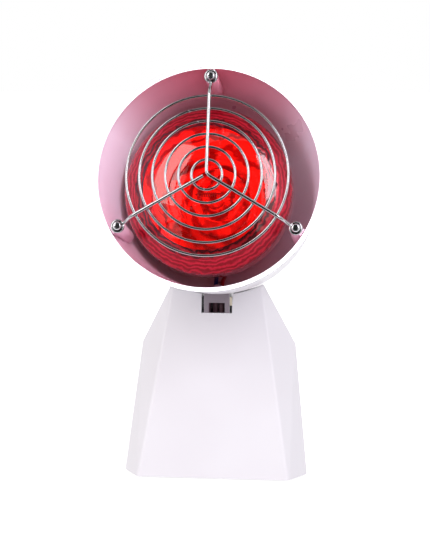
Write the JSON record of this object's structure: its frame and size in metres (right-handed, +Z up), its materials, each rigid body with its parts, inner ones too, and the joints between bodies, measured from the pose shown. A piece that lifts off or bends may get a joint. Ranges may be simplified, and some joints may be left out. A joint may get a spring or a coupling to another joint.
{
  "type": "infrared heat therapy lamp",
  "caption": "Table-top heat lamp: a tilting drum-shaped white shade with a wire guard over a red reflector bulb, hinged in the slot of a wedge-shaped base.",
  "frame": {"origin": "on the surface that the lamp stands on, in the middle of the footprint of the whole lamp at rest", "axes": "+Z up, -Y towards the side that the shade faces, +X to the right for someone who looks into the shade"},
  "size_m": [0.158, 0.2142, 0.2932],
  "materials": {
    "white_shell": "moulded, softly glossy",
    "guard_wire": "bright plated wire",
    "screw_steel": "bright zinc",
    "plated_steel": "zinc plated",
    "red_glass": "clear red",
    "red_mirror_glass": "red glass, mirrored inside",
    "clear_glass": "clear",
    "black_glass": "opaque black",
    "filament": "tungsten wire",
    "brass": "plain",
    "ceramic": "glazed ceramic",
    "lead_blue": "insulation sleeve",
    "lead_red": "insulation sleeve",
    "lead_black": "insulation sleeve",
    "rubber": "matt",
    "ballast": "painted plate",
    "cream_nylon": "plain nylon",
    "black_plastic": "fine satin"
  },
  "bodies": {
    "base": {"base_shell": "white_shell", "base_plate": "white_shell", "base_plate_screws": "screw_steel", "rubber_feet": "rubber", "ballast_plate": "ballast", "ballast_screws": "screw_steel", "pivot_pins": "plated_steel", "friction_shims": "cream_nylon", "terminal_block": "ceramic", "terminal_screws": "brass", "base_lead_blue": "lead_blue", "base_lead_red": "lead_red", "switch_link_lead": "lead_black", "switch_frame": "black_plastic", "switch_blades": "brass", "cord_gland": "black_plastic", "gland_nut": "black_plastic"},
    "head": {"shade": "white_shell", "rear_cap": "white_shell", "rear_cap_screws": "screw_steel", "guard_rings": "guard_wire", "guard_long_spoke": "guard_wire", "guard_short_spoke": "guard_wire", "guard_screws": "screw_steel", "bulb_front_glass": "red_glass", "bulb_reflector": "red_mirror_glass", "bulb_neck_glass": "red_mirror_glass", "bulb_stem": "clear_glass", "bulb_filament": "filament", "bulb_screw_cap": "brass", "bulb_cap_insulator": "black_glass", "bulb_cap_contact": "brass", "holder_ceramic": "ceramic", "holder_thread_shell": "brass", "holder_contact": "brass", "holder_terminals": "brass", "holder_bracket": "plated_steel", "holder_screws": "screw_steel", "bracket_screws": "screw_steel", "neck": "white_shell", "neck_screws": "screw_steel", "head_lead_blue": "lead_blue", "head_lead_red": "lead_red"},
    "rocker": {"switch_rocker": "black_plastic"}
  },
  "joints": [
    {"name": "head_tilt", "type": "hinge", "parent": "base", "child": "head", "pos_m": [0, -0.01645, 0.109], "axis": [-1, 0, 0], "range_deg": [-1, 34]},
    {"name": "switch_rock", "type": "hinge", "parent": "base", "child": "rocker", "pos_m": [0, 0.06595, 0.03], "axis": [0, 0, 1], "range_deg": [0, 16]}
  ]
}
